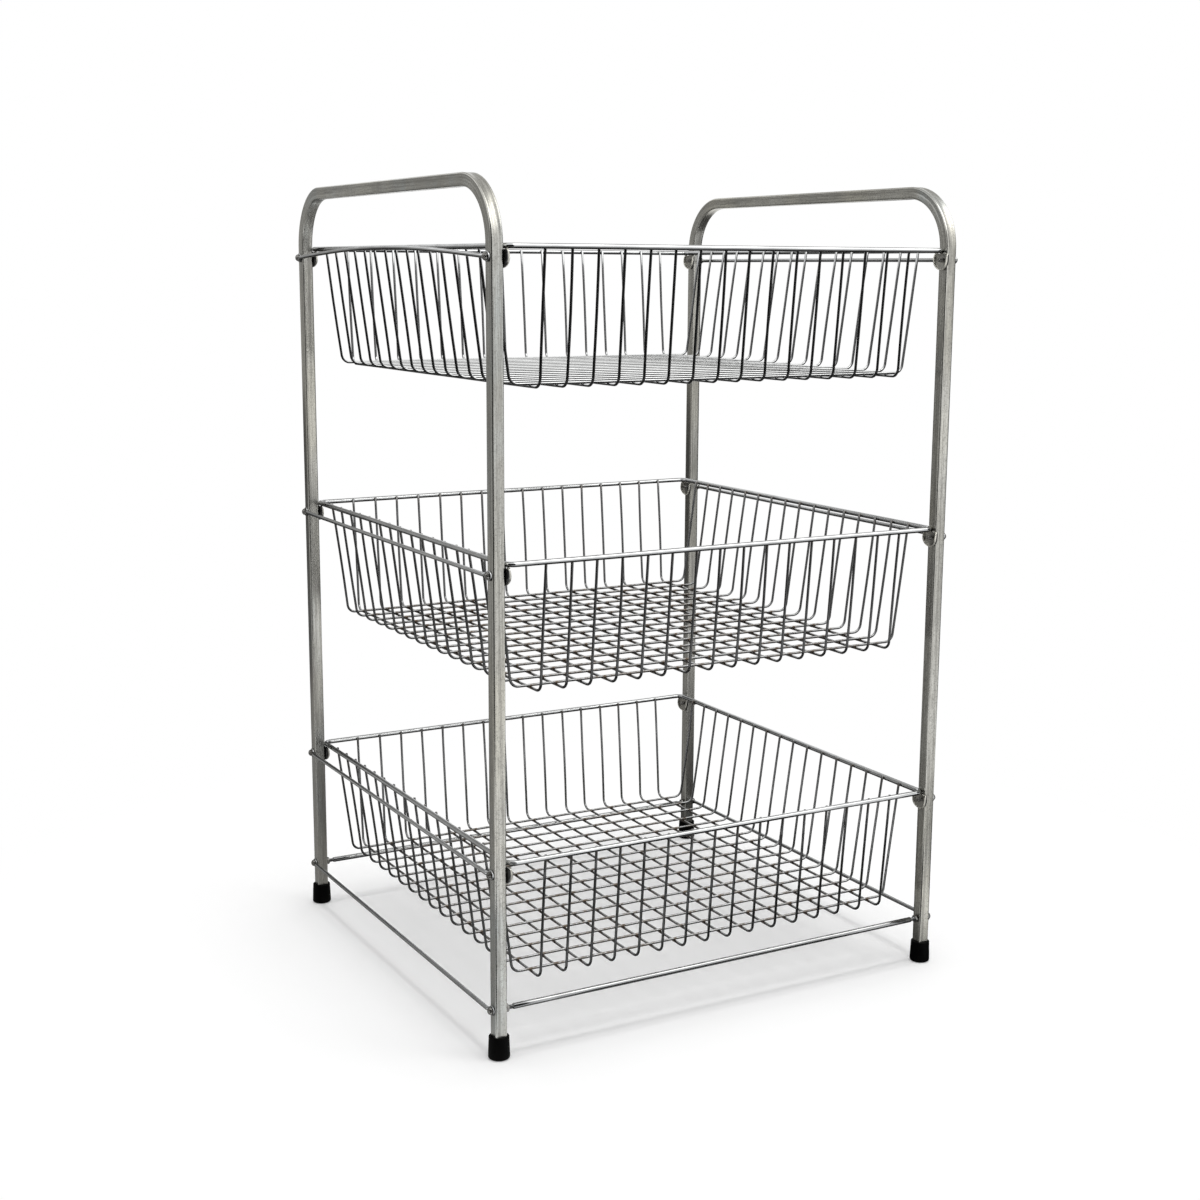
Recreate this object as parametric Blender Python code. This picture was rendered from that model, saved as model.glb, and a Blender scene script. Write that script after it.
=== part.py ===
"""A tiered vegetable rack: three welded wire baskets bolted between two bent tube side frames.

Metres, +Z up, +X to the rack's right, -Y to its front. The origin is on the floor under the middle.
"""

from math import cos, pi, radians, sin, sqrt, tan

import bmesh
import bpy
from mathutils import Vector

# Side frames: one square tube each, bent to an upside-down U whose top run is a handle.
TUBE = 0.012
TUBE_WALL = 0.001
TUBE_CORNER = 0.0015
BORE_CORNER = 0.0006
FRAME_SPACING = 0.494
FRAME_DEPTH = 0.467
HANDLE_BEND = 0.056
HANDLE_STRAIGHT = 0.010

# Rubber feet pushed onto the tube ends.
FOOT_HEIGHT = 0.022
FOOT_RING = 0.0038
FOOT_FLARE = 0.0007
FOOT_SOLE = 0.004
FOOT_EDGE = 0.0025

# Heights, from the floor up: foot, low bars, then basket, gap, basket, gap, basket, handle.
BAR_RISE = 0.0255
BASKET_CLEARANCE = 0.01325
BASKET_HEIGHT = 0.126
TIER_GAP = 0.149

# Baskets: a rim, and two sets of wires bent to a wide U that cross on the floor.
RIM_WIRE = 0.005
RIM_CORNER = 0.009
RIM_PROUD = 0.001
BASKET_WIRE = 0.0026
WIRES_EACH_WAY = 16
WIRE_BEND = 0.009
WIRE_TIP_SHARE = 0.7
FIRST_WIRE_INSET = 0.0193
SIDE_WALL_LEAN = 0.0164
END_WALL_LEAN = 0.0109
WELD_SINK = 0.0003

# Corner lugs: round-bottomed tabs with folded edges, under the rim, against the tubes' inner faces.
LUG_WIDTH = 0.020
LUG_SHEET = 0.0012
LUG_DISH = 0.004
LUG_TOP_LIP = 0.0006
RIM_ABOVE_BOLT = 0.009

# Rods outside the frames, and the two tie rods between them.
SIDE_ROD = 0.004
EYE_DIAMETER = 0.0095
EYE_SHEET = 0.0015
EYE_NECK_SHARE = 0.8
EYE_TAPER = 0.004
TIE_ROD = 0.0055
TIE_NECK_SHOWN = 0.005

# Fasteners: dome-headed bolts at the baskets, dome nuts and lock nuts on the tie rods' necks.
BOLT = 0.004
BOLT_TIP = 0.004
HEAD_DIAMETER = 0.0075
HEAD_HEIGHT = 0.0034
DOME_SHARES = ((0.0, 1.0), (0.45, 0.9), (0.85, 0.5), (1.0, 0.0))
CAP_NUT_CROWN = 0.0016
LOCK_NUT_FLATS = 0.007
LOCK_NUT_HEIGHT = 0.0032

# Clearance between pieces that touch, and the overrun of every cut.
GAP = 0.0003
OVERRUN = 0.002

# Facets.
HANDLE_BEND_STEPS = 6
WIRE_SIDES = 6
WIRE_BEND_STEPS = 2
RIM_SIDES = 8
RIM_CORNER_STEPS = 3
ROD_SIDES = 6
EYE_SIDES = 8
TURNED_SIDES = 10
HOLE_SIDES = 8
NUT_SIDES = 6
LUG_STEPS = 6
LUG_TOP_SHARES = (-1.0, -0.5, 0.0, 0.5, 1.0)
LUG_SIDE_SHARES = (0.7, 0.35)
FOOT_SIDES = 16
FOOT_EDGE_STEPS = 2

# What follows from the sizes above.
TIERS = ("lower", "middle", "top")
SIDES = (("left", -1), ("right", 1))
ENDS = (("front", -1), ("rear", 1))
POST_X = FRAME_SPACING / 2
POST_Y = FRAME_DEPTH / 2
INNER_FACE = POST_X - TUBE / 2
OUTER_FACE = POST_X + TUBE / 2
RIM_RADIUS = RIM_WIRE / 2
WIRE_RADIUS = BASKET_WIRE / 2
HOLE_RADIUS = BOLT / 2 + GAP
BAR_HEIGHT = FOOT_HEIGHT + BAR_RISE
LOWEST_FLOOR = BAR_HEIGHT + TIE_ROD / 2 + BASKET_CLEARANCE
LOWEST_RIM = LOWEST_FLOOR + BASKET_HEIGHT - RIM_RADIUS
TIER_PITCH = BASKET_HEIGHT + TIER_GAP
RIM_HEIGHTS = [LOWEST_RIM + tier * TIER_PITCH for tier in range(len(TIERS))]
BOLT_HEIGHTS = [height - RIM_ABOVE_BOLT for height in RIM_HEIGHTS]
HANDLE_HEIGHT = BOLT_HEIGHTS[-1] + HANDLE_STRAIGHT + HANDLE_BEND
RIM_X = INNER_FACE - GAP - RIM_RADIUS
RIM_Y = POST_Y + TUBE / 2 + RIM_PROUD - RIM_RADIUS
EYE_MIDDLE = GAP + EYE_SHEET / 2
HEAD_SEAT = GAP + EYE_SHEET + GAP
CAP_NUT_DEPTH = HEAD_HEIGHT - CAP_NUT_CROWN
FACETED_SHARP = radians(40)
ROUND_SHARP = radians(70)

# Each finish: colour in linear RGB, metallic and roughness.
FINISHES = {
    "satin_steel": ((0.42, 0.42, 0.40), 1.0, 0.38),
    "plated_wire": ((0.50, 0.50, 0.48), 1.0, 0.22),
    "bright_fastener": ((0.62, 0.62, 0.60), 1.0, 0.16),
    "black_rubber": ((0.012, 0.012, 0.012), 0.0, 0.6),
}


def clear_scene():
    """Removes every object that the file holds."""
    for thing in list(bpy.data.objects):
        bpy.data.objects.remove(thing, do_unlink=True)


def make_material(name, finish):
    """One sub-part's own material."""
    colour, metallic, roughness = FINISHES[finish]
    material = bpy.data.materials.new(name)
    material.use_nodes = True
    shader = material.node_tree.nodes["Principled BSDF"]
    shader.inputs["Base Color"].default_value = (*colour, 1.0)
    shader.inputs["Metallic"].default_value = metallic
    shader.inputs["Roughness"].default_value = roughness
    return material


def link_object(name, mesh):
    """An object in the scene that shows a mesh."""
    thing = bpy.data.objects.new(name, mesh)
    bpy.context.scene.collection.objects.link(thing)
    return thing


def place(name, mesh, finish, location, turn=0.0):
    """A sub-part: a mesh, which others may share, at its place and turned about Z."""
    if not mesh.materials:
        mesh.materials.append(None)
    thing = link_object(name, mesh)
    thing.location = location
    thing.rotation_euler = (0.0, 0.0, turn)
    thing.material_slots[0].link = "OBJECT"
    thing.material_slots[0].material = make_material(name, finish)
    return thing


def turn_of(sign):
    """The turn about Z that makes a right-hand piece face outwards on the given side."""
    return 0.0 if sign > 0 else pi


def mesh_from(shape, name, sharp):
    """Closes a bmesh into a smooth-shaded mesh whose faces point out."""
    bmesh.ops.recalc_face_normals(shape, faces=shape.faces[:])
    mesh = bpy.data.meshes.new(name)
    shape.to_mesh(mesh)
    shape.free()
    mesh.shade_smooth()
    mesh.set_sharp_from_angle(angle=sharp)
    return mesh


def boolean_mesh(name, first, second, operation, sharp):
    """The mesh left by a Boolean of two meshes."""
    target = link_object(name, first)
    tool = link_object(f"{name}_tool", second)
    modifier = target.modifiers.new("join_or_cut", "BOOLEAN")
    modifier.operation = operation
    modifier.solver = "EXACT"
    modifier.object = tool
    graph = bpy.context.evaluated_depsgraph_get()
    mesh = bpy.data.meshes.new_from_object(target.evaluated_get(graph))
    mesh.name = name
    bpy.data.objects.remove(target, do_unlink=True)
    bpy.data.objects.remove(tool, do_unlink=True)
    mesh.shade_smooth()
    mesh.set_sharp_from_angle(angle=sharp)
    return mesh


def outline_of(sides, radius, stretch=(1.0, 1.0)):
    """The points of a regular outline with a flat at its top, stretched along its two axes."""
    first = pi / 2 - pi / sides
    angles = [first + 2 * pi * k / sides for k in range(sides)]
    return [(radius * stretch[0] * cos(angle), radius * stretch[1] * sin(angle)) for angle in angles]


def cut_square(side, corner):
    """The eight points of a square outline whose corners are cut off."""
    half = side / 2
    flat = half - corner
    points = []
    for quarter in range(4):
        c, s = round(cos(quarter * pi / 2)), round(sin(quarter * pi / 2))
        for u, v in ((half, -flat), (half, flat)):
            points.append((u * c - v * s, u * s + v * c))
    return points


def bridge(shape, first, second):
    """Quads between two closed rings of equal length, or a fan where one is a single point."""
    if len(first) == 1:
        first, second = second, first
    count = len(first)
    for k in range(count):
        after = (k + 1) % count
        if len(second) == 1:
            shape.faces.new((first[k], first[after], second[0]))
        else:
            shape.faces.new((first[k], first[after], second[after], second[k]))


def bridge_all(shape, rings, closed):
    """Skins a row of rings, and joins the last to the first if the row is closed."""
    for first, second in zip(rings, rings[1:]):
        bridge(shape, first, second)
    if closed:
        bridge(shape, rings[-1], rings[0])


def bent_path(corners, bend, steps):
    """Points, each with the path's direction, along straight runs joined by arcs of one radius."""
    corners = [Vector(corner) for corner in corners]
    path = [(corners[0], (corners[1] - corners[0]).normalized())]
    for before, corner, after in zip(corners, corners[1:], corners[2:]):
        into = (corner - before).normalized()
        out = (after - corner).normalized()
        angle = into.angle(out)
        start = corner - into * bend * tan(angle / 2)
        inward = (out - into * into.dot(out)).normalized()
        for step in range(steps + 1):
            turned = angle * step / steps
            along = into * sin(turned) + inward * (1 - cos(turned))
            path.append((start + along * bend, into * cos(turned) + inward * sin(turned)))
    path.append((corners[-1], (corners[-1] - corners[-2]).normalized()))
    return path


def path_rings(shape, path, outline, across):
    """A ring of the outline at each point of a flat path; across is square to the path's plane."""
    across = Vector(across)
    rings = []
    for point, direction in path:
        up = direction.cross(across)
        rings.append([shape.verts.new(point + across * u + up * v) for u, v in outline])
    return rings


def turned_mesh(name, profile, sides, closed=False):
    """A body turned about X from (x, radius) points, where a radius of zero is a point on the axis."""
    shape = bmesh.new()
    rings = []
    for x, radius in profile:
        outline = outline_of(sides, radius) if radius else [(0.0, 0.0)]
        rings.append([shape.verts.new((x, u, v)) for u, v in outline])
    bridge_all(shape, rings, closed)
    return mesh_from(shape, name, FACETED_SHARP)


def frame_tube_mesh():
    """The hollow square tube of one side frame, before drilling."""
    foot_end = FOOT_SOLE + GAP
    corners = (
        (0, -POST_Y, foot_end),
        (0, -POST_Y, HANDLE_HEIGHT),
        (0, POST_Y, HANDLE_HEIGHT),
        (0, POST_Y, foot_end),
    )
    path = bent_path(corners, HANDLE_BEND, HANDLE_BEND_STEPS)
    shape = bmesh.new()
    outer = path_rings(shape, path, cut_square(TUBE, TUBE_CORNER), (1, 0, 0))
    bore = path_rings(shape, path, cut_square(TUBE - 2 * TUBE_WALL, BORE_CORNER), (1, 0, 0))
    bridge_all(shape, outer + bore[::-1], closed=True)
    return mesh_from(shape, "frame_tube", FACETED_SHARP)


def bolt_drill_mesh():
    """One drill for each bolt of a side frame, through both walls of its leg."""
    reach = TUBE / 2 + OVERRUN
    shape = bmesh.new()
    for height in (BAR_HEIGHT, *BOLT_HEIGHTS):
        for _, way in ENDS:
            rings = []
            for x in (-reach, reach):
                outline = outline_of(HOLE_SIDES, HOLE_RADIUS)
                rings.append([shape.verts.new((x, way * POST_Y + u, height + v)) for u, v in outline])
                shape.faces.new(rings[-1])
            bridge(shape, rings[0], rings[1])
    return mesh_from(shape, "bolt_drill", FACETED_SHARP)


def make_side_frames():
    """Two bent tubes, alike, drilled at four heights on each leg."""
    mesh = boolean_mesh("side_frame", frame_tube_mesh(), bolt_drill_mesh(), "DIFFERENCE", FACETED_SHARP)
    for side, sign in SIDES:
        place(f"side_frame_{side}", mesh, "satin_steel", (sign * POST_X, 0, 0))


def foot_blank_mesh():
    """A ferrule's outside: a rounded sole edge, then sides that draw in towards the top."""
    top = TUBE / 2 + FOOT_RING
    base = top + FOOT_FLARE
    levels = []
    for step in range(FOOT_EDGE_STEPS + 1):
        angle = pi / 2 * step / FOOT_EDGE_STEPS
        levels.append((FOOT_EDGE * (1 - cos(angle)), base - FOOT_EDGE * (1 - sin(angle))))
    levels.append((FOOT_HEIGHT, top))
    shape = bmesh.new()
    rings = []
    for height, radius in levels:
        rings.append([shape.verts.new((u, v, height)) for u, v in outline_of(FOOT_SIDES, radius)])
    bridge_all(shape, rings, closed=False)
    for ring in (rings[0], rings[-1]):
        shape.faces.new(ring)
    return mesh_from(shape, "foot_blank", FACETED_SHARP)


def foot_socket_mesh():
    """The square socket that the tube's end sits in."""
    shape = bmesh.new()
    rings = []
    for height in (FOOT_SOLE, FOOT_HEIGHT + OVERRUN):
        outline = cut_square(TUBE + 2 * GAP, TUBE_CORNER)
        rings.append([shape.verts.new((u, v, height)) for u, v in outline])
        shape.faces.new(rings[-1])
    bridge(shape, rings[0], rings[1])
    return mesh_from(shape, "foot_socket", FACETED_SHARP)


def make_feet():
    """A rubber ferrule on each of the four tube ends."""
    mesh = boolean_mesh("foot", foot_blank_mesh(), foot_socket_mesh(), "DIFFERENCE", FACETED_SHARP)
    for side, sign in SIDES:
        for end, way in ENDS:
            place(f"foot_{end}_{side}", mesh, "black_rubber", (sign * POST_X, way * POST_Y, 0))


def rim_mesh():
    """The thick rim wire: a closed loop with rounded corners round its own middle."""
    corners = ((RIM_X, -RIM_Y, 0), (RIM_X, RIM_Y, 0), (-RIM_X, RIM_Y, 0), (-RIM_X, -RIM_Y, 0))
    start = (0, -RIM_Y, 0)
    path = bent_path((start, *corners, start), RIM_CORNER, RIM_CORNER_STEPS)[1:-1]
    shape = bmesh.new()
    rings = path_rings(shape, path, outline_of(RIM_SIDES, RIM_RADIUS), (0, 0, 1))
    bridge_all(shape, rings, closed=True)
    return mesh_from(shape, "basket_rim", ROUND_SHARP)


def wire_set_mesh(name, reach, lean, first, floor, outer_shift, run_along_x):
    """Parallel wires, each bent to a wide U: down one wall, across the floor, up the other wall.

    reach is the half width at the rim and first the place of the outermost wire, both from the middle.
    floor is the height of the floor runs under the rim, and outer_shift lifts those of the two
    outermost wires, so that these bite into the wires they cross and weld the basket together.
    """
    tip = RIM_RADIUS * WIRE_TIP_SHARE
    last = WIRES_EACH_WAY - 1
    across = (0, 1, 0) if run_along_x else (1, 0, 0)
    shape = bmesh.new()
    for k in range(WIRES_EACH_WAY):
        offset = first * (2 * k / last - 1)
        height = floor + (outer_shift if k in (0, last) else 0)
        run = ((-reach, tip), (lean - reach, height), (reach - lean, height), (reach, tip))
        corners = [(u, offset, v) if run_along_x else (offset, u, v) for u, v in run]
        path = bent_path(corners, WIRE_BEND, WIRE_BEND_STEPS)
        rings = path_rings(shape, path, outline_of(WIRE_SIDES, WIRE_RADIUS), across)
        bridge_all(shape, rings, closed=False)
        for ring in (rings[0], rings[-1]):
            shape.faces.new(ring)
    return mesh_from(shape, name, ROUND_SHARP)


def wirework_mesh():
    """All the thin wires of one basket, welded where the outermost ones cross the others."""
    seat = RIM_RADIUS + GAP + WIRE_RADIUS
    reach_x = RIM_X - seat
    reach_y = RIM_Y - seat
    first_x = reach_x - SIDE_WALL_LEAN - FIRST_WIRE_INSET
    first_y = reach_y - END_WALL_LEAN - FIRST_WIRE_INSET
    bite = GAP + WELD_SINK
    low = RIM_RADIUS + WIRE_RADIUS - BASKET_HEIGHT
    high = low + 2 * WIRE_RADIUS * cos(pi / WIRE_SIDES) + GAP
    long_wires = wire_set_mesh("long_wires", reach_y, END_WALL_LEAN, first_x, low, bite, False)
    cross_wires = wire_set_mesh("cross_wires", reach_x, SIDE_WALL_LEAN, first_y, high, -bite, True)
    return boolean_mesh("basket_wires", long_wires, cross_wires, "UNION", ROUND_SHARP)


def lug_mesh():
    """A round-bottomed plate with a bolt hole whose edge folds over towards +X, round the bolt's axis.

    The fold is deepest half way down the plate and runs out at its top and bottom. Six loops of points
    go round: back edge, outside of the fold, inside of the fold, the foot of the fold on the plate,
    then the two edges of the hole.
    """
    half = LUG_WIDTH / 2
    top = RIM_ABOVE_BOLT - RIM_RADIUS - GAP
    angles = [pi * step / LUG_STEPS for step in range(LUG_STEPS + 1)]
    upright = [(half, top * share) for share in LUG_SIDE_SHARES]
    edge = [(half * share, top) for share in LUG_TOP_SHARES] + upright
    edge += [(half * cos(angle), -half * sin(angle)) for angle in angles]
    edge += [(-u, v) for u, v in upright[::-1]]
    inset = 1 - LUG_SHEET / half
    inner = [(u * inset, v * inset if v < top else top - LUG_SHEET) for u, v in edge]
    hole = [tuple(Vector(point).normalized() * HOLE_RADIUS) for point in edge]
    middle, reach = (top - half) / 2, (top + half) / 2
    least = LUG_SHEET + LUG_TOP_LIP
    depths = []
    for _, v in edge:
        away = (v - middle) / reach
        depths.append(least + (LUG_DISH - least) * sqrt(max(0, 1 - away * away)))
    back = [0.0] * len(edge)
    plate = [LUG_SHEET] * len(edge)
    loops = [(edge, back), (edge, depths), (inner, depths), (inner, plate), (hole, plate), (hole, back)]
    shape = bmesh.new()
    rings = []
    for points, heights in loops:
        rings.append([shape.verts.new((x, u, v)) for (u, v), x in zip(points, heights)])
    bridge_all(shape, rings, closed=True)
    return mesh_from(shape, "basket_lug", FACETED_SHARP)


def make_baskets():
    """Three alike baskets, each a rim, welded wirework and four corner lugs."""
    rim, wirework, lug = rim_mesh(), wirework_mesh(), lug_mesh()
    for tier, rim_height, bolt_height in zip(TIERS, RIM_HEIGHTS, BOLT_HEIGHTS):
        place(f"basket_rim_{tier}", rim, "plated_wire", (0, 0, rim_height))
        place(f"basket_wires_{tier}", wirework, "plated_wire", (0, 0, rim_height))
        for side, sign in SIDES:
            for end, way in ENDS:
                spot = (sign * (INNER_FACE - GAP), way * POST_Y, bolt_height)
                place(f"basket_lug_{tier}_{end}_{side}", lug, "plated_wire", spot, turn_of(-sign))


def rod_bar_mesh():
    """A side rod's bar: round, and flattened at both ends where it runs into its eyes."""
    round_bar = (1.0, 1.0)
    flat = (EYE_SHEET * EYE_NECK_SHARE / SIDE_ROD, 1.0)
    rim = EYE_DIAMETER / 2
    ends = (
        ((HOLE_RADIUS + rim) / 2, EYE_MIDDLE, flat),
        (rim, EYE_MIDDLE, flat),
        (rim + EYE_TAPER, GAP + SIDE_ROD / 2, round_bar),
    )
    shape = bmesh.new()
    rings = []
    for way, sections in ((-1, ends), (1, ends[::-1])):
        for back_from_bolt, middle, stretch in sections:
            y = way * (POST_Y - back_from_bolt)
            outline = outline_of(ROD_SIDES, SIDE_ROD / 2, stretch)
            rings.append([shape.verts.new((middle + u, y, v)) for u, v in outline])
    bridge_all(shape, rings, closed=False)
    for ring in (rings[0], rings[-1]):
        shape.faces.new(ring)
    return mesh_from(shape, "rod_bar", ROUND_SHARP)


def rod_eyes_mesh():
    """The two pierced eyes of a side rod."""
    shape = bmesh.new()
    for _, way in ENDS:
        rings = []
        for x, radius in (
            (GAP, HOLE_RADIUS),
            (GAP, EYE_DIAMETER / 2),
            (GAP + EYE_SHEET, EYE_DIAMETER / 2),
            (GAP + EYE_SHEET, HOLE_RADIUS),
        ):
            outline = outline_of(EYE_SIDES, radius)
            rings.append([shape.verts.new((x, way * POST_Y + u, v)) for u, v in outline])
        bridge_all(shape, rings, closed=True)
    return mesh_from(shape, "rod_eyes", FACETED_SHARP)


def make_side_rods():
    """A rod outside each side frame at every tier, and a low side bar of the same make."""
    mesh = boolean_mesh("side_rod", rod_bar_mesh(), rod_eyes_mesh(), "UNION", FACETED_SHARP)
    for side, sign in SIDES:
        spot = sign * OUTER_FACE
        place(f"side_bar_{side}", mesh, "plated_wire", (spot, 0, BAR_HEIGHT), turn_of(sign))
        for tier, height in zip(TIERS, BOLT_HEIGHTS):
            place(f"side_rod_{tier}_{side}", mesh, "plated_wire", (spot, 0, height), turn_of(sign))


def make_tie_rods():
    """Front and rear bars between the legs, with reduced necks through the tubes into dome nuts."""
    shoulder = INNER_FACE - GAP - LOCK_NUT_HEIGHT - TIE_NECK_SHOWN
    tip = OUTER_FACE + HEAD_SEAT + CAP_NUT_DEPTH - GAP
    neck, bar = BOLT / 2, TIE_ROD / 2
    half = ((tip, 0), (tip, neck), (shoulder, neck), (shoulder, bar))
    profile = [(-x, radius) for x, radius in half] + list(half[::-1])
    mesh = turned_mesh("tie_rod", profile, TURNED_SIDES)
    for end, way in ENDS:
        place(f"tie_rod_{end}", mesh, "plated_wire", (0, way * POST_Y, BAR_HEIGHT))


def dome_profile():
    """The outside of a dome head or dome nut, from its seat to its crown."""
    return [(HEAD_SEAT + HEAD_HEIGHT * rise, HEAD_DIAMETER / 2 * width) for rise, width in DOME_SHARES]


def make_bolts():
    """A dome-headed bolt through each rod eye, leg and basket lug."""
    tip = -(TUBE + GAP + LUG_SHEET + BOLT_TIP)
    shank = BOLT / 2
    mesh = turned_mesh("bolt", [(tip, 0), (tip, shank), (HEAD_SEAT, shank), *dome_profile()], TURNED_SIDES)
    for tier, height in zip(TIERS, BOLT_HEIGHTS):
        for side, sign in SIDES:
            for end, way in ENDS:
                spot = (sign * OUTER_FACE, way * POST_Y, height)
                place(f"bolt_{tier}_{end}_{side}", mesh, "bright_fastener", spot, turn_of(sign))


def make_tie_rod_nuts():
    """A dome nut outside and a lock nut inside each leg, on the tie rods' necks."""
    blind = HEAD_SEAT + CAP_NUT_DEPTH
    cap = [(blind, 0), (blind, HOLE_RADIUS), (HEAD_SEAT, HOLE_RADIUS), *dome_profile()]
    cap_nut = turned_mesh("cap_nut", cap, TURNED_SIDES)
    corner = 1 / cos(pi / NUT_SIDES)
    outside, bore = LOCK_NUT_FLATS / 2 * corner, HOLE_RADIUS * corner
    near, far = -TUBE - GAP, -TUBE - GAP - LOCK_NUT_HEIGHT
    loops = ((near, bore), (near, outside), (far, outside), (far, bore))
    lock_nut = turned_mesh("lock_nut", loops, NUT_SIDES, closed=True)
    for side, sign in SIDES:
        for end, way in ENDS:
            spot = (sign * OUTER_FACE, way * POST_Y, BAR_HEIGHT)
            place(f"cap_nut_{end}_{side}", cap_nut, "bright_fastener", spot, turn_of(sign))
            place(f"lock_nut_{end}_{side}", lock_nut, "bright_fastener", spot, turn_of(sign))


def main():
    clear_scene()
    make_side_frames()
    make_feet()
    make_baskets()
    make_side_rods()
    make_tie_rods()
    make_bolts()
    make_tie_rod_nuts()


main()
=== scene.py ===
"""The looks of the tiered vegetable rack: bent steel tube, welded wire, plated fasteners, rubber feet.

Metres, +Z up, -Y to the rack's front. Every piece sits where the frame's own node is.
"""

import random
from math import atan2, cos, exp, pi, radians, sin, sqrt, tan

import bmesh
import bpy
from mathutils import Matrix, Vector, kdtree, noise


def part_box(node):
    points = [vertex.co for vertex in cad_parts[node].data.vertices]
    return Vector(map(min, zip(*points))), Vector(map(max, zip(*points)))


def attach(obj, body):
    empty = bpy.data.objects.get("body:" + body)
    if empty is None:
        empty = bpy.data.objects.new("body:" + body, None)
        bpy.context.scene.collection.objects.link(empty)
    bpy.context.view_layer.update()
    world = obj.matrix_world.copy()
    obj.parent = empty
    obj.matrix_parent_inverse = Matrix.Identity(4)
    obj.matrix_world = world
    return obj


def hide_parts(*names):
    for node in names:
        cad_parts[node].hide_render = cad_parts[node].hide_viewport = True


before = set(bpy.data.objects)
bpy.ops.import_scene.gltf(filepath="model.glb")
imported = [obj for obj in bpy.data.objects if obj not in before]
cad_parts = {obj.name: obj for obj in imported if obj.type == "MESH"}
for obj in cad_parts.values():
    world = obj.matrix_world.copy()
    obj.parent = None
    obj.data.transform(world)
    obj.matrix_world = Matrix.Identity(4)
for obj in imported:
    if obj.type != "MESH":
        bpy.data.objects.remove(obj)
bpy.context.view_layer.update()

SIDES = (("left", -1), ("right", 1))
ENDS = (("front", -1), ("rear", 1))
TIERS = ("lower", "middle", "top")
CORNERS = [(f"{end}_{side}", sign, way) for side, sign in SIDES for end, way in ENDS]
X_WAY, Y_WAY, Z_WAY = Vector((1, 0, 0)), Vector((0, 1, 0)), Vector((0, 0, 1))


def middle_of(node):
    """The middle of a node's box."""
    low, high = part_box(node)
    return (low + high) / 2


# Sizes read from the frame.
FRAME_LOW, FRAME_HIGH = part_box("side_frame_right")
TUBE = FRAME_HIGH.x - FRAME_LOW.x
POST_X = middle_of("side_frame_right").x
POST_Y = FRAME_HIGH.y - TUBE / 2
TUBE_FOOT = FRAME_LOW.z
HANDLE_HEIGHT = FRAME_HIGH.z - TUBE / 2
INNER_FACE, OUTER_FACE = FRAME_LOW.x, FRAME_HIGH.x
FOOT_LOW, FOOT_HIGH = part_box("foot_front_right")
FOOT_HEIGHT = FOOT_HIGH.z
FOOT_RADIUS = (FOOT_HIGH.x - FOOT_LOW.x) / 2
BAR_HEIGHT = middle_of("tie_rod_front").z
RIM_HEIGHTS = {tier: middle_of(f"basket_rim_{tier}").z for tier in TIERS}
BOLT_HEIGHTS = {tier: middle_of(f"side_rod_{tier}_right").z for tier in TIERS}

# Sizes that the solids share, by their own names there.
HANDLE_BEND = 0.056
TUBE_CORNER = 0.0015
FOOT_FLARE = 0.0007
FOOT_EDGE = 0.0025
BASKET_HEIGHT = 0.126
RIM_WIRE = 0.005
RIM_CORNER = 0.009
RIM_PROUD = 0.001
BASKET_WIRE = 0.0026
WIRES_EACH_WAY = 16
WIRE_BEND = 0.009
WIRE_TIP_SHARE = 0.7
FIRST_WIRE_INSET = 0.0193
SIDE_WALL_LEAN = 0.0164
END_WALL_LEAN = 0.0109
LUG_WIDTH = 0.020
LUG_SHEET = 0.0012
LUG_DISH = 0.004
LUG_TOP_LIP = 0.0006
RIM_ABOVE_BOLT = 0.009
SIDE_ROD = 0.004
EYE_DIAMETER = 0.0095
EYE_SHEET = 0.0015
EYE_NECK_SHARE = 0.8
EYE_TAPER = 0.004
TIE_ROD = 0.0055
TIE_NECK_SHOWN = 0.005
BOLT = 0.004
BOLT_TIP = 0.004
HEAD_DIAMETER = 0.0075
HEAD_HEIGHT = 0.0034
CAP_NUT_CROWN = 0.0016
LOCK_NUT_FLATS = 0.007
LOCK_NUT_HEIGHT = 0.0032
GAP = 0.0003

# What follows from them.
RIM_RADIUS = RIM_WIRE / 2
WIRE_RADIUS = BASKET_WIRE / 2
HOLE_RADIUS = BOLT / 2 + GAP
HEAD_SEAT = GAP + EYE_SHEET + GAP
RIM_X = INNER_FACE - GAP - RIM_RADIUS
RIM_Y = POST_Y + TUBE / 2 + RIM_PROUD - RIM_RADIUS

# Fineness of the surfaces.
TUBE_FLAT_STEPS = 8
TUBE_CORNER_STEPS = 5
TUBE_BEND_STEPS = 40
TUBE_STRIDE = 0.02
FOOT_SIDES = 64
RIM_SIDES = 20
WIRE_SIDES = 12
ROD_SIDES = 24
BEND_STEPS = 8
TURNED_SIDES = 36
THREAD_SIDES = 24
NUT_SIDES = 48
BAR_STRIDE = 0.03
ROUND_STEPS = 4
LEAST_STRIDE = 0.00075
BEAD_SIDES = 8
BEAD_LEVELS = (-0.6, 0.0, 0.6)
LUG_ROUND_STEPS = 28
LUG_TOP_STEPS = 8
FOLD_STEPS = 4
LIP_STEPS = 6
HOLLOW_STEPS = 3
TAPER_STEPS = 10
DOME_STEPS = 14
SHARP_ANGLE = 50
NUT_SHARP_ANGLE = 25

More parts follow.
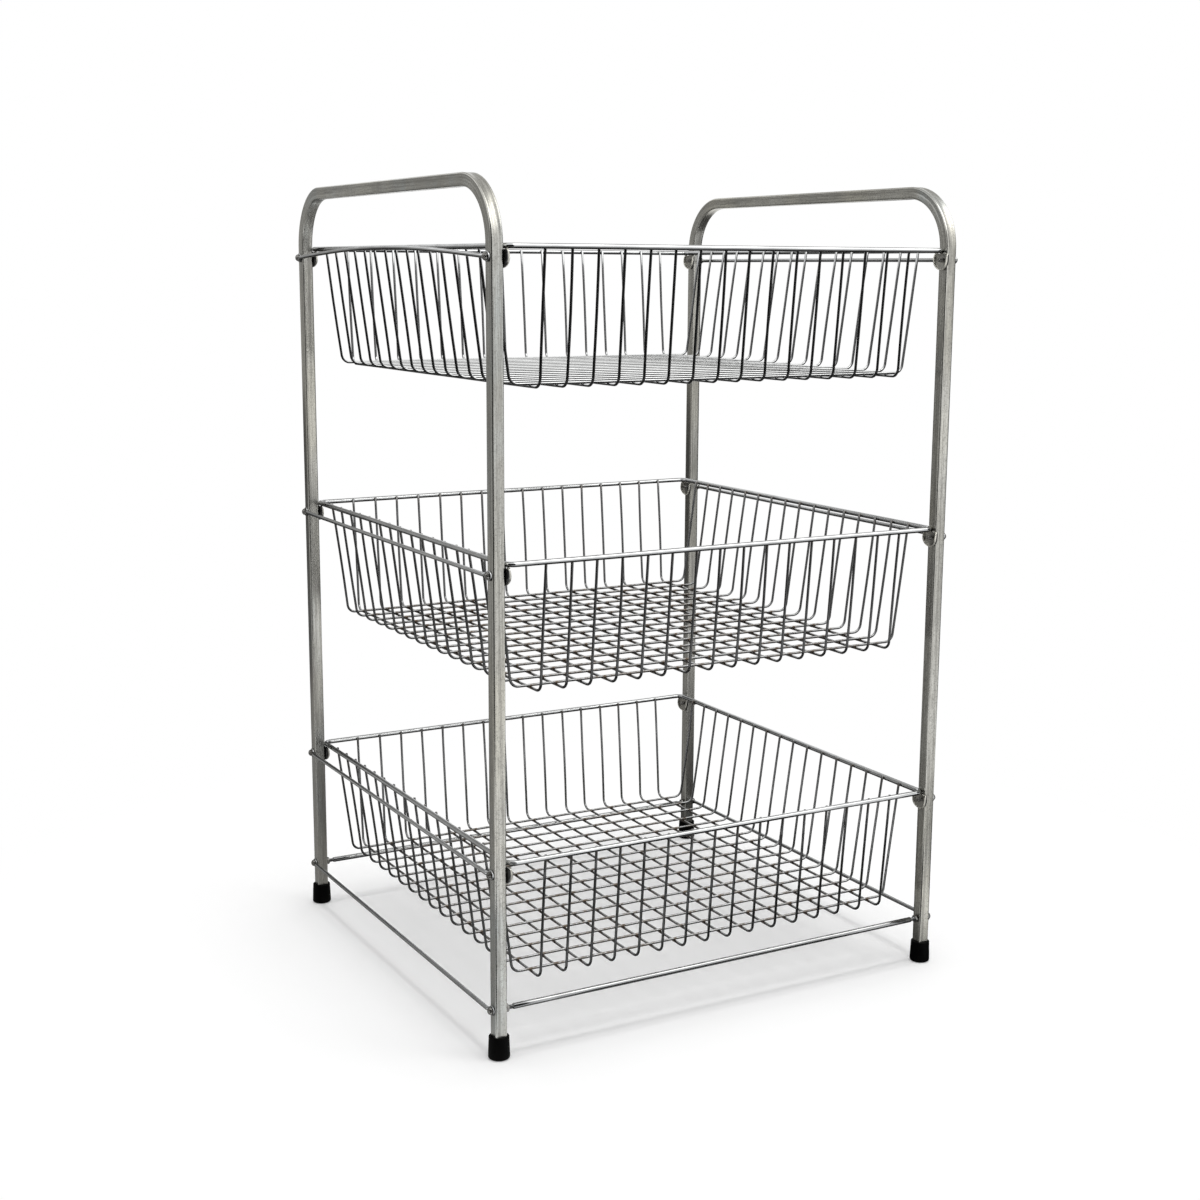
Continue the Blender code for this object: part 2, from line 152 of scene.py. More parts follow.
# How the real pieces stray from their drawing: bends, welds and threads.
OUTER_DISH = 0.0011
SIDE_PINCH = 0.0005
PINCH_PLACE = -0.35
PINCH_SPREAD = 0.4
BEND_RAMP = 1.7
WELD_BITE = 0.0003
WELD_SPREAD = 0.003
HEAT_SPREAD = 0.005
RIM_HEAT_SHARE = 0.004
RIM_WELD_SWELL = 0.07
RIM_WELD_SPREAD = 0.0016
WIRE_STRAY = 0.0004
WIRE_BOW = 0.0006
BASKET_SWAY = 0.00022
SWAY_PER_METRE = 8
SWAY_DRAW = 1
SWAY_SEED = Vector((5.3, 2.9, 0))
TAPER_START_SHARE = 0.75
NECK_WIDTH_SHARE = 1.25
ROD_BOW = 0.0005
ARCHED_ROD = "rod_top_left"
ROD_ARCH = 0.009
WIRE_CUT = 0.0003
WIRE_END_SHARE = 0.8
THREAD_PITCH = 0.0007
THREAD_DEPTH = 0.0004
THREAD_STEPS = 7
THREAD_SLOPE = 1.3
THREAD_ROOT = 0.15

# Half widths of the beads of weld metal: along the bead, across it and up.
FLOOR_BEAD = (0.0012, 0.0012, 0.0007)
TIP_BEAD = (0.0016, 0.0008, 0.0013)
LUG_BEAD = (0.0028, 0.0012, 0.0009)
LUG_BEAD_PLACE = 0.55
LUG_BEAD_RISE = 0.0001
LUG_BEAD_HEAT = 0.5


class Shape:
    """One piece's points and faces, with places along its bars, and marks of welds and edges."""

    def __init__(self):
        self.points = []
        self.marks = []
        self.faces = []
        self.runs = []

    def ring(self, points, mark=0.0):
        """Adds points with one mark or a list of marks, and gives their numbers."""
        first = len(self.points)
        self.points.extend(points)
        self.marks.extend(mark if isinstance(mark, list) else [mark] * len(points))
        return list(range(first, len(self.points)))

    def face(self, corners, runs):
        """Adds a face, with each corner's place round and along the bar."""
        self.faces.append(corners)
        self.runs.extend(runs)

    def strip(self, first, second, start, end, girth):
        """Quads between two rings at start and end along a bar."""
        count = len(first)
        for k in range(count):
            after = (k + 1) % count
            u, v = girth * k / count, girth * (k + 1) / count
            corners = (first[k], first[after], second[after], second[k])
            self.face(corners, ((u, start), (v, start), (v, end), (u, end)))

    def skin(self, rings, girth, closed_row=False):
        """Quads along a row of rings, and on to the first if the row is closed."""
        following = rings[1:] + rings[:1] if closed_row else rings[1:]
        along = 0.0
        for first, second in zip(rings, following):
            step = (self.middle(second) - self.middle(first)).length
            self.strip(first, second, along, along + step, girth)
            along += step

    def bar(self, rings, girth):
        """A row of rings, closed at both ends."""
        self.skin(rings, girth)
        self.cap(rings[0])
        self.cap(rings[-1])

    def middle(self, ring):
        """The mean of a ring's points."""
        return sum((self.points[k] for k in ring), Vector()) / len(ring)

    def cap(self, ring, middle=None):
        """A fan that closes a ring at a middle point."""
        centre = self.ring([middle or self.middle(ring)], self.marks[ring[0]])[0]
        for k, corner in enumerate(ring):
            after = ring[(k + 1) % len(ring)]
            self.face((corner, after, centre), ((0, 0), (0, 0), (0, 0)))

    def object(self, name, material, slot, *nodes, sharp=SHARP_ANGLE):
        """The finished piece, in the place of its nodes, riding on the rack's one body."""
        mesh = bpy.data.meshes.new(name)
        mesh.from_pydata([tuple(point) for point in self.points], [], self.faces)
        layer = mesh.uv_layers.new(name="run")
        layer.data.foreach_set("uv", [value for run in self.runs for value in run])
        mesh.attributes.new("mark", "FLOAT", "POINT").data.foreach_set("value", self.marks)
        turn_outwards(mesh)
        mesh.materials.append(material)
        mesh.shade_smooth()
        mesh.set_sharp_from_angle(angle=radians(sharp))
        made = bpy.data.objects.new(name, mesh)
        bpy.context.scene.collection.objects.link(made)
        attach(made, "root")
        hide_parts(*nodes)


def turn_outwards(mesh):
    """Makes the faces of every closed part of a mesh point out."""
    shape = bmesh.new()
    shape.from_mesh(mesh)
    bmesh.ops.recalc_face_normals(shape, faces=shape.faces[:])
    shape.to_mesh(mesh)
    shape.free()


def circle(count, radius, stretch=(1.0, 1.0)):
    """Points of a circle or, stretched, of an oval."""
    angles = [2 * pi * k / count for k in range(count)]
    return [(radius * stretch[0] * cos(angle), radius * stretch[1] * sin(angle)) for angle in angles]


def arc(middle, radius, start, end, steps):
    """Points of an arc, both ends among them, with the angles in degrees."""
    angles = [radians(start + (end - start) * k / steps) for k in range(steps + 1)]
    return [(middle[0] + radius * cos(angle), middle[1] + radius * sin(angle)) for angle in angles]


def smooth_step(value):
    """A soft ramp from 0 to 1."""
    value = min(1.0, max(0.0, value))
    return value * value * (3 - 2 * value)


def bent_path(corners, bend, steps):
    """Points, each with the path's direction, along straight runs joined by arcs of one radius."""
    corners = [Vector(corner) for corner in corners]
    path = [(corners[0], (corners[1] - corners[0]).normalized())]
    for before, corner, after in zip(corners, corners[1:], corners[2:]):
        into = (corner - before).normalized()
        out = (after - corner).normalized()
        angle = into.angle(out)
        start = corner - into * bend * tan(angle / 2)
        inward = (out - into * into.dot(out)).normalized()
        for step in range(steps + 1):
            turned = angle * step / steps
            along = into * sin(turned) + inward * (1 - cos(turned))
            path.append((start + along * bend, into * cos(turned) + inward * sin(turned)))
    path.append((corners[-1], (corners[-1] - corners[-2]).normalized()))
    return path


def filled_in(path, stride, spots=()):
    """The path with more points on its straight runs: at every stride, on each spot and beside it."""
    full = [path[0]]
    for (start, _), (end, direction) in zip(path, path[1:]):
        length = (end - start).length
        straight = (end - start).normalized()
        count = max(1, round(length / stride))
        places = [length * k / count for k in range(1, count)]
        for spot in spots:
            at = (spot - start).dot(straight)
            if (spot - start - straight * at).length < WELD_SPREAD:
                places += [at - WELD_SPREAD, at, at + WELD_SPREAD]
        last = 0.0
        for place in sorted(places):
            if last + LEAST_STRIDE < place < length - LEAST_STRIDE:
                full.append((start + straight * place, straight))
                last = place
        full.append((end, direction))
    return full


def add_bar(shape, path, outline, across, closed, heat_at, shift_at, size_at):
    """A bar of one outline along a flat path, with functions for heat, shift and size."""
    girth = sum((Vector(a) - Vector(b)).length for a, b in zip(outline, outline[1:] + outline[:1]))
    rings = []
    for point, direction in path:
        up = direction.cross(across)
        middle, size = point + shift_at(point), size_at(point)
        ring = [middle + (across * u + up * v) * size for u, v in outline]
        rings.append(shape.ring(ring, heat_at(point)))
    if closed:
        shape.skin(rings, girth, closed_row=True)
    else:
        shape.bar(rings, girth)


def add_turned(shape, profile, sides, centre, outward, closed=False, radius_at=None):
    """A body turned about X from (x, radius) points, of which a zero radius is one point."""
    rings = []
    for x, radius in profile:
        points = []
        for k in range(sides if radius else 1):
            angle = 2 * pi * k / sides
            r = radius_at(x, angle, radius) if radius_at and radius else radius
            points.append(centre + Vector((outward * x, r * cos(angle), r * sin(angle))))
        rings.append(points if radius == 0 else shape.ring(points))
    ends = list(zip(profile, rings))
    along = 0.0
    for (first, near), (second, far) in zip(ends, ends[1:] + (ends[:1] if closed else [])):
        step = sqrt((second[0] - first[0]) ** 2 + (second[1] - first[1]) ** 2)
        if first[1] == 0:
            shape.cap(far, near[0])
        elif second[1] == 0:
            shape.cap(near, far[0])
        else:
            shape.strip(near, far, along, along + step, 2 * pi * first[1])
        along += step


def add_bead(shape, centre, along, size, heat=1.0):
    """A small oval of weld metal, with its long way and its three half widths."""
    side = along.cross(X_WAY if abs(along.z) > 0.5 else Z_WAY).normalized()
    up = side.cross(along)
    rings = []
    for level in BEAD_LEVELS:
        width = sqrt(1 - level * level)
        ring = []
        for u, v in circle(BEAD_SIDES, width):
            ring.append(centre + along * size[0] * level + side * size[1] * u + up * size[2] * v)
        rings.append(shape.ring(ring, heat))
    shape.skin(rings, size[1] * pi)
    shape.cap(rings[0], centre - along * size[0])
    shape.cap(rings[-1], centre + along * size[0])


def heat_round(spots):
    """A function for how close a place is to a weld, from 1 at it down to 0."""
    tree = kdtree.KDTree(len(spots))
    for number, spot in enumerate(spots):
        tree.insert(spot, number)
    tree.balance()
    return lambda point: exp(-(tree.find(point)[2] / HEAT_SPREAD) ** 2)


class Nodes:
    """The nodes of a material or of the world, added and joined in short calls."""

    def __init__(self, owner, shader, output):
        owner.use_nodes = True
        self.owner = owner
        self.tree = owner.node_tree
        self.shader = self.tree.nodes[shader]
        self.surface = self.tree.nodes[output].inputs["Surface"]

    def join(self, value, socket):
        """Links a socket to another node's output, or sets it to a number."""
        if isinstance(value, bpy.types.NodeSocket):
            self.tree.links.new(value, socket)
        else:
            socket.default_value = value

    def put(self, name, value):
        """Sets or links one of the shader's sockets."""
        self.join(value, self.shader.inputs[name])

    def node(self, kind, sockets, **settings):
        """A node with its settings and its input sockets, by name or number."""
        made = self.tree.nodes.new(kind)
        for name, value in settings.items():
            setattr(made, name, value)
        for name, value in sockets.items():
            self.join(value, made.inputs[name])
        return made

    def finish(self, colour, rough, normal):
        """Gives the shader its colour, roughness and normal, and gives the material."""
        self.put("Base Color", colour)
        self.put("Roughness", rough)
        self.put("Normal", normal)
        return self.owner

    def show(self, share, first, second):
        """Gives the surface a mix of two shaders."""
        mixed = self.node("ShaderNodeMixShader", {0: share, 1: first, 2: second}).outputs[0]
        self.join(mixed, self.surface)

    def place(self, stretch):
        """The place in the object, stretched."""
        place = self.node("ShaderNodeTexCoord", {}).outputs["Object"]
        return self.node("ShaderNodeMapping", {"Vector": place, "Scale": stretch}).outputs["Vector"]

    def run(self, stretch):
        """The place round and along the bar, stretched."""
        run = self.node("ShaderNodeUVMap", {}, uv_map="run").outputs["UV"]
        return self.node("ShaderNodeMapping", {"Vector": run, "Scale": stretch}).outputs["Vector"]

    def axis(self, vector, name):
        """One number of a vector."""
        return self.node("ShaderNodeSeparateXYZ", {"Vector": vector}).outputs[name]

    def noise(self, vector, scale, detail, roughness=0.5, distortion=0.0):
        """Cloudy noise from 0 to 1."""
        sockets = {"Vector": vector, "Scale": scale, "Detail": detail}
        sockets |= {"Roughness": roughness, "Distortion": distortion}
        return self.node("ShaderNodeTexNoise", sockets).outputs["Fac"]

    def clouds(self, stretch, *pattern):
        """Noise by the place in the object."""
        return self.noise(self.place(stretch), *pattern)

    def lines(self, stretch, detail):
        """Noise drawn out along the bar."""
        return self.noise(self.run(stretch), 1.0, detail)

    def mark(self):
        """What the mesh marks: wires near welds, a tube's edges, a lug's lip and inner side."""
        return self.node("ShaderNodeAttribute", {}, attribute_name="mark").outputs["Fac"]

    def ramp(self, value, start, end, low=0.0, high=1.0):
        """A value from start to end made one from low to high, and held there outside."""
        sockets = {"Value": value, "From Min": start, "From Max": end, "To Min": low, "To Max": high}
        return self.node("ShaderNodeMapRange", sockets).outputs["Result"]

    def math(self, operation, first, second):
        """Arithmetic on two values."""
        return self.node("ShaderNodeMath", {0: first, 1: second}, operation=operation).outputs["Value"]

    def times(self, first, second):
        """The product of two values."""
        return self.math("MULTIPLY", first, second)

    def blend(self, share, first, second):
        """A mix of two colours."""
        sockets = {0: share, 6: first, 7: second}
        return self.node("ShaderNodeMix", sockets, data_type="RGBA").outputs[2]

    def layer(self, under, pattern, start, end, share, colour):
        """A colour laid over another, from nothing where a pattern is at start to a share at end."""
        return self.blend(self.ramp(pattern, start, end, 0.0, share), under, colour)

    def bump(self, height, distance, normal=None):
        """A bumped normal, over another if one is given."""
        sockets = {"Height": height, "Distance": distance}
        if normal:
            sockets["Normal"] = normal
        return self.node("ShaderNodeBump", sockets).outputs["Normal"]


def new_paint(name, metallic=0.0):
    """The nodes of a new material."""
    paint = Nodes(bpy.data.materials.new(name), "Principled BSDF", "Material Output")
    paint.put("Metallic", metallic)
    return paint


def colour_of(red, green=None, blue=None):
    """A colour with its alpha, gray if only one number is given."""
    green = red if green is None else green
    blue = red if blue is None else blue
    return (red, green, blue, 1.0)


def cool_gray(tone):
    """A gray with a little less red."""
    return colour_of(tone * 0.975, tone * 0.99, tone)


# Noise along a bar: stretch and detail.
TUBE_GRAIN = ((2600, 45, 1), 3.0)
TUBE_STREAKS = ((520, 5, 1), 2.0)
WIRE_GRAIN = ((2600, 14, 1), 3.0)

# Noise by place: stretch, fineness, detail, and for some roughness and distortion.
EVEN = (1, 1, 1)
TUBE_SPECK = (EVEN, 620.0, 3.0, 0.7)
TUBE_CLOUDS = ((1, 1, 0.45), 26.0, 4.0, 0.6)
TUBE_WIDE_CLOUDS = ((1, 1, 0.6), 7.0, 2.0)
TUBE_TINTS = ((1, 1, 0.35), 13.0, 3.0, 0.6)
WIRE_CLOUD = (EVEN, 45.0, 3.0)
WIRE_MOTTLE = (EVEN, 260.0, 3.0)
SHEET_GRAIN = ((60, 1800, 60), 1.0, 3.0)
SHEET_MOTTLE = (EVEN, 240.0, 4.0)
FASTENER_MOTTLE = (EVEN, 420.0, 4.0)
FASTENER_SCRATCHES = ((1, 9, 1), 700.0, 2.0, 0.5, 0.6)
RUBBER_GRAIN = (EVEN, 1500.0, 4.0)
RUBBER_SMEARS = ((1, 1, 0.4), 160.0, 4.0)

# Colours under all layers, and of what lies over them: brighter tube edges, the painted highlight on a lug's
# lip, and dust.
TUBE_DULL = colour_of(0.52, 0.515, 0.475)
TUBE_BRIGHT = colour_of(0.76, 0.755, 0.71)
TUBE_EDGE = colour_of(0.85, 0.84, 0.79)
SHEET_PLAIN = cool_gray(0.1)
SHEET_LIP_HIGHLIGHT = colour_of(0.97, 0.95, 0.87)
FASTENER_PLAIN = colour_of(0.34, 0.336, 0.322)
RUBBER_PLAIN = colour_of(0.001)
RUBBER_DUST = colour_of(0.012, 0.0115, 0.011)
WHITE = colour_of(1.0)

# Of a bar: its tone, and how brown its welds are.
BAR_TONES = (0.85, 0.12)
ROD_TONES = (0.5, 0.12)

# Of a basket's wires: tone outside, painted-light tone inside and on the floor, where the floor's starts,
# brown of the welds. The top basket has its own, with stronger painted light and shade.
BASKET_TONES = (0.16, 0.36, 0.6, 0.4, 0.75)
HANDLED_TONES = (0.04, 0.4, 0.97, 0.22, 0.2)

# Layers of colour: where a pattern starts and where it is full, its share there, the colour.
WARM_TUBE = (0.5, 0.64, 0.85, colour_of(0.72, 0.7, 0.61))
COOL_TUBE = (0.46, 0.34, 0.75, colour_of(0.56, 0.605, 0.61))
LINED_TUBE = (0.85, 1.2, 0.75, colour_of(0.27, 0.262, 0.24))
SPECKLED_TUBE = (0.5, 0.66, 0.55, colour_of(0.22, 0.215, 0.2))
# Painted light on the upper side of rims and rods, by how far a place faces up.
PAINTED_TOP_LIGHT = (0.4, 0.8, 1.0, cool_gray(0.62))
CLOUDED_WIRE = (0.7, 0.35, 0.2, cool_gray(0.0))
LINED_WIRE = (0.35, 0.75, 0.15, cool_gray(0.02))
# Painted shade on the undersides of all wires, by how far a place faces down.
PAINTED_UNDERSIDE_SHADE = (0.1, -0.4, 0.95, cool_gray(0.04))
STRAW_WIRE = (0.15, 0.6, 1.0, colour_of(0.15, 0.115, 0.085))
BURNT_WIRE = (0.55, 1.0, 1.0, colour_of(0.06, 0.053, 0.05))
TARNISHED_SHEET = (0.35, 0.7, 1.0, cool_gray(0.035))
TARNISHED_FASTENER = (0.4, 0.75, 1.0, colour_of(0.09, 0.084, 0.075))

# Ramps: where a pattern starts and ends, and what it gives there.
TUBE_PATCHES = (0.6, 1.0)
TUBE_SHEEN = (0.0, 1.0, 0.28, 0.18)
TUBE_LINE_ROUGHNESS = (0.6, 1.4, 0.0, 0.08)
WIRE_SHEEN = (0.3, 0.7, 0.18, 0.1)
WELD_ROUGHNESS = (0.1, 0.9, 0.0, 0.25)
WELD_PATCHES = (0.3, 0.65)
LIP_SHOWN = (0.25, 0.8)
# Patches in which the painted highlight on a lug's lip shows.
LIP_HIGHLIGHT_PATCHES = (0.3, 0.6, 0.55, 1.0)
SHEET_SHEEN = (0.3, 0.7, 0.14, 0.3)
FASTENER_SHEEN = (0.35, 0.75, 0.04, 0.12)
RUBBER_SHEEN = (0.3, 0.7, 0.45, 0.62)
RUBBER_DUSTED = (0.4, 0.75)
RUBBER_LOW = (0.0, 0.009, 1.0, 0.0)

# Shares, and the width of two ramps.
WIDE_CLOUD_SHARE = 0.6
EDGE_SHARE = 0.2
EDGE_SMOOTHING = 0.08
LEAST_TINT = 0.1
INNER_RANGE = 0.6
FLOOR_RANGE = 0.4
LIP_ROUGHNESS = 0.35
LEAST_DUST = 0.25
DUST_SHARE = 0.4
RUBBER_GLOSS = 0.05

# Heights of the bumps.
FINE_BUMP = 0.000004
SCRATCH_BUMP = 0.000006
STREAK_BUMP = 0.000012
RUBBER_BUMP = 0.00002
MOTTLE_BUMP = 0.00003
TUBE_BUMP = 0.00012


def tube_steel():
    """Zinc-plated tube: lengthwise grain, specks, soft tinted patches, brighter and smoother edges."""
    paint = new_paint("tube_steel", metallic=1.0)
    grain = paint.lines(*TUBE_GRAIN)
    streaks = paint.lines(*TUBE_STREAKS)
    fine = paint.math("ADD", grain, streaks)
    clouds = paint.clouds(*TUBE_CLOUDS)
    wide = paint.times(paint.clouds(*TUBE_WIDE_CLOUDS), WIDE_CLOUD_SHARE)
    patch = paint.ramp(paint.math("ADD", clouds, wide), *TUBE_PATCHES)
    tints = paint.clouds(*TUBE_TINTS)
    edge = paint.mark()
    colour = paint.blend(patch, TUBE_DULL, TUBE_BRIGHT)
    colour = paint.layer(colour, tints, *WARM_TUBE)
    colour = paint.layer(colour, tints, *COOL_TUBE)
    colour = paint.layer(colour, fine, *LINED_TUBE)
    colour = paint.layer(colour, paint.clouds(*TUBE_SPECK), *SPECKLED_TUBE)
    colour = paint.blend(paint.times(edge, EDGE_SHARE), colour, TUBE_EDGE)
    rough = paint.math("ADD", paint.ramp(patch, *TUBE_SHEEN), paint.ramp(fine, *TUBE_LINE_ROUGHNESS))
    rough = paint.math("SUBTRACT", rough, paint.times(edge, EDGE_SMOOTHING))
    waves = paint.bump(streaks, STREAK_BUMP, paint.bump(clouds, TUBE_BUMP))
    return paint.finish(colour, rough, paint.bump(grain, FINE_BUMP, waves))


def drawn_steel(name):
    """A paint for plated wire, and how far each place faces up."""
    paint = new_paint(name, metallic=1.0)
    normal = paint.node("ShaderNodeNewGeometry", {}).outputs["Normal"]
    return paint, paint.axis(normal, "Z")


def finish_wire(paint, colour, upward, tint):
    """Gives a wire its draw lines and its colour: painted shade below, and brown round the welds."""
    grain = paint.lines(*WIRE_GRAIN)
    clouds = paint.clouds(*WIRE_CLOUD)
    tinted = paint.ramp(paint.clouds(*WIRE_MOTTLE), *WELD_PATCHES, LEAST_TINT * tint, tint)
    heat = paint.times(paint.mark(), tinted)
    colour = paint.layer(colour, clouds, *CLOUDED_WIRE)
    colour = paint.layer(colour, grain, *LINED_WIRE)
    colour = paint.layer(colour, upward, *PAINTED_UNDERSIDE_SHADE)
    colour = paint.layer(colour, heat, *STRAW_WIRE)
    colour = paint.layer(colour, heat, *BURNT_WIRE)
    rough = paint.math("ADD", paint.ramp(clouds, *WIRE_SHEEN), paint.ramp(heat, *WELD_ROUGHNESS))
    return paint.finish(colour, rough, paint.bump(grain, FINE_BUMP, paint.bump(clouds, MOTTLE_BUMP)))


def bar_steel(name, tone, tint):
    """Thick plated wire, with painted light on its top and painted shade on its underside."""
    paint, upward = drawn_steel(name)
    return finish_wire(paint, paint.layer(cool_gray(tone), upward, *PAINTED_TOP_LIGHT), upward, tint)


def basket_steel(name, outer_tone, lit_inner_tone, lit_floor_tone, floor_from, tint):
    """Basket wire: dark outside, with painted light on the side facing in, and most of all on the floor."""
    paint, upward = drawn_steel(name)
    girth = 2 * WIRE_SIDES * WIRE_RADIUS * sin(pi / WIRE_SIDES)
    inward = paint.math("SINE", paint.axis(paint.run((2 * pi / girth, 1, 1)), "X"), 0.0)
    # Painted light on the side of each wire that faces into the basket, and on the tops of the floor wires.
    colour = paint.layer(cool_gray(outer_tone), inward, 0.0, INNER_RANGE, 1.0, cool_gray(lit_inner_tone))
    floor_full = floor_from + FLOOR_RANGE
    colour = paint.layer(colour, upward, floor_from, floor_full, 1.0, cool_gray(lit_floor_tone))
    return finish_wire(paint, colour, upward, tint)


def pressed_sheet():
    """Lugs: dark mottled sheet, with a painted highlight on the lip and a weaker one on the side facing the
    basket.
    """
    paint = new_paint("pressed_sheet", metallic=1.0)
    mottle = paint.clouds(*SHEET_MOTTLE)
    # The painted highlight on the lip and, weaker, on the side facing the basket.
    lip = paint.times(paint.ramp(paint.mark(), *LIP_SHOWN), paint.ramp(mottle, *LIP_HIGHLIGHT_PATCHES))
    colour = paint.blend(lip, paint.layer(SHEET_PLAIN, mottle, *TARNISHED_SHEET), SHEET_LIP_HIGHLIGHT)
    rough = paint.math("ADD", paint.ramp(mottle, *SHEET_SHEEN), paint.times(lip, LIP_ROUGHNESS))
    grain = paint.clouds(*SHEET_GRAIN)
    return paint.finish(colour, rough, paint.bump(grain, SCRATCH_BUMP, paint.bump(mottle, MOTTLE_BUMP)))


def polished_steel():
    """Dome heads and nuts: bright plating with hair scratches and a little tarnish."""
    paint = new_paint("polished_steel", metallic=1.0)
    scratches = paint.clouds(*FASTENER_SCRATCHES)
    colour = paint.layer(FASTENER_PLAIN, paint.clouds(*FASTENER_MOTTLE), *TARNISHED_FASTENER)
    return paint.finish(colour, paint.ramp(scratches, *FASTENER_SHEEN), paint.bump(scratches, SCRATCH_BUMP))


def black_rubber():
    """Moulded rubber: fine grain, with gray dust towards the sole."""
    paint = new_paint("black_rubber")
    paint.put("Specular IOR Level", RUBBER_GLOSS)
    grain = paint.clouds(*RUBBER_GRAIN)
    low = paint.math("ADD", paint.ramp(paint.axis(paint.place(EVEN), "Z"), *RUBBER_LOW), LEAST_DUST)
    dust = paint.times(paint.ramp(paint.clouds(*RUBBER_SMEARS), *RUBBER_DUSTED), low)
    colour = paint.blend(paint.times(dust, DUST_SHARE), RUBBER_PLAIN, RUBBER_DUST)
    return paint.finish(colour, paint.ramp(grain, *RUBBER_SHEEN), paint.bump(grain, RUBBER_BUMP))


def tube_outline():
    """The rounded square as (u, v, wall) round the tube's middle; corner points have no wall."""
    half = TUBE / 2
    flat = half - TUBE_CORNER
    outline = []
    for wall in range(4):
        c, s = round(cos(wall * pi / 2)), round(sin(wall * pi / 2))
        side = [(half, flat * (2 * k / TUBE_FLAT_STEPS - 1), wall) for k in range(TUBE_FLAT_STEPS + 1)]
        corner = arc((flat, flat), TUBE_CORNER, 0, 90, TUBE_CORNER_STEPS)[1:-1]
        for u, v, face in side + [(*point, None) for point in corner]:
            outline.append((u * c - v * s, u * s + v * c, face))
    return outline


def dented(u, v, wall, amount):
    """A point of the outline where the tube is bent: the outer wall dishes and the sides draw in."""
    flat = TUBE / 2 - TUBE_CORNER
    if wall == 3:
        v += amount * OUTER_DISH * (1 - (u / flat) ** 2)
    if wall in (0, 2):
        place = v / flat
        near = exp(-((place - PINCH_PLACE) / PINCH_SPREAD) ** 2) * (1 - place * place)
        u -= (1 if wall == 0 else -1) * amount * SIDE_PINCH * near
    return u, v


def make_tubes(material):
    """The two side frames: square tube bent to an upside-down U."""
    outline = tube_outline()
    edges = [1.0 if wall is None else 0.0 for _, _, wall in outline]
    girth = 4 * (TUBE - 2 * TUBE_CORNER) + 2 * pi * TUBE_CORNER
    ends = ((-POST_Y, TUBE_FOOT), (-POST_Y, HANDLE_HEIGHT), (POST_Y, HANDLE_HEIGHT), (POST_Y, TUBE_FOOT))
    for side, sign in SIDES:
        corners = [(sign * POST_X, y, z) for y, z in ends]
        path = filled_in(bent_path(corners, HANDLE_BEND, TUBE_BEND_STEPS), TUBE_STRIDE)
        shape = Shape()
        rings = []
        for point, direction in path:
            up = direction.cross(X_WAY)
            bent = min(1.0, BEND_RAMP * abs(2 * direction.y * direction.z))
            section = [dented(u, v, wall, bent) for u, v, wall in outline]
            rings.append(shape.ring([point + X_WAY * u + up * v for u, v in section], edges))
        shape.bar(rings, girth)
        shape.object(f"tube_{side}", material, "satin_steel", f"side_frame_{side}")


def square_reach(angle, half):
    """How far a square with the tube's corners reaches from its middle in one direction."""
    c, s = abs(cos(angle)), abs(sin(angle))
    flat = half - TUBE_CORNER
    reach = half / max(c, s)
    if min(c, s) * reach <= flat:
        return reach
    toward = flat * (c + s)
    return toward + sqrt(toward * toward - 2 * flat * flat + TUBE_CORNER * TUBE_CORNER)


def make_feet(material):
    """A rubber ferrule on each tube end: round outside, with a square socket for the tube."""
    lip, socket_depth = 0.0008, 0.005
    top, socket = FOOT_RADIUS - FOOT_FLARE, TUBE / 2 + GAP / 2
    outside = [(FOOT_RADIUS - FOOT_EDGE, 0.0)]
    outside += arc((FOOT_RADIUS - FOOT_EDGE, FOOT_EDGE), FOOT_EDGE, -90, 0, ROUND_STEPS * 2)[1:]
    outside += arc((top - lip, FOOT_HEIGHT - lip), lip, 0, 90, ROUND_STEPS)
    inside = arc((lip / 2, FOOT_HEIGHT - lip / 2), lip / 2, 90, 180, ROUND_STEPS)
    inside.append((0.0, FOOT_HEIGHT - socket_depth))
    for corner, sign, way in CORNERS:
        shape = Shape()
        rings = []
        centre = Vector((sign * POST_X, way * POST_Y, 0))
        for radius, z in outside:
            rings.append(shape.ring([centre + Vector((x, y, z)) for x, y in circle(FOOT_SIDES, radius)]))
        for widened, z in inside:
            ring = []
            for x, y in circle(FOOT_SIDES, 1.0):
                reach = square_reach(atan2(y, x), socket) + widened
                ring.append(centre + Vector((reach * x, reach * y, z)))
            rings.append(shape.ring(ring))
        shape.bar(rings, 2 * pi * FOOT_RADIUS)
        shape.object(f"ferrule_{corner}", material, "black_rubber", f"foot_{corner}")


def wire_places(first, draw):
    """Where parallel wires lie across a basket, each a little out of line."""
    places = [first * (2 * k / (WIRES_EACH_WAY - 1) - 1) for k in range(WIRES_EACH_WAY)]
    return [place + draw.uniform(-WIRE_STRAY, WIRE_STRAY) for place in places]


def swaying(number):
    """A function for how far one basket strays from its drawing at a place."""
    seed = SWAY_SEED * number
    return lambda point: noise.noise_vector(point * SWAY_PER_METRE + seed) * BASKET_SWAY


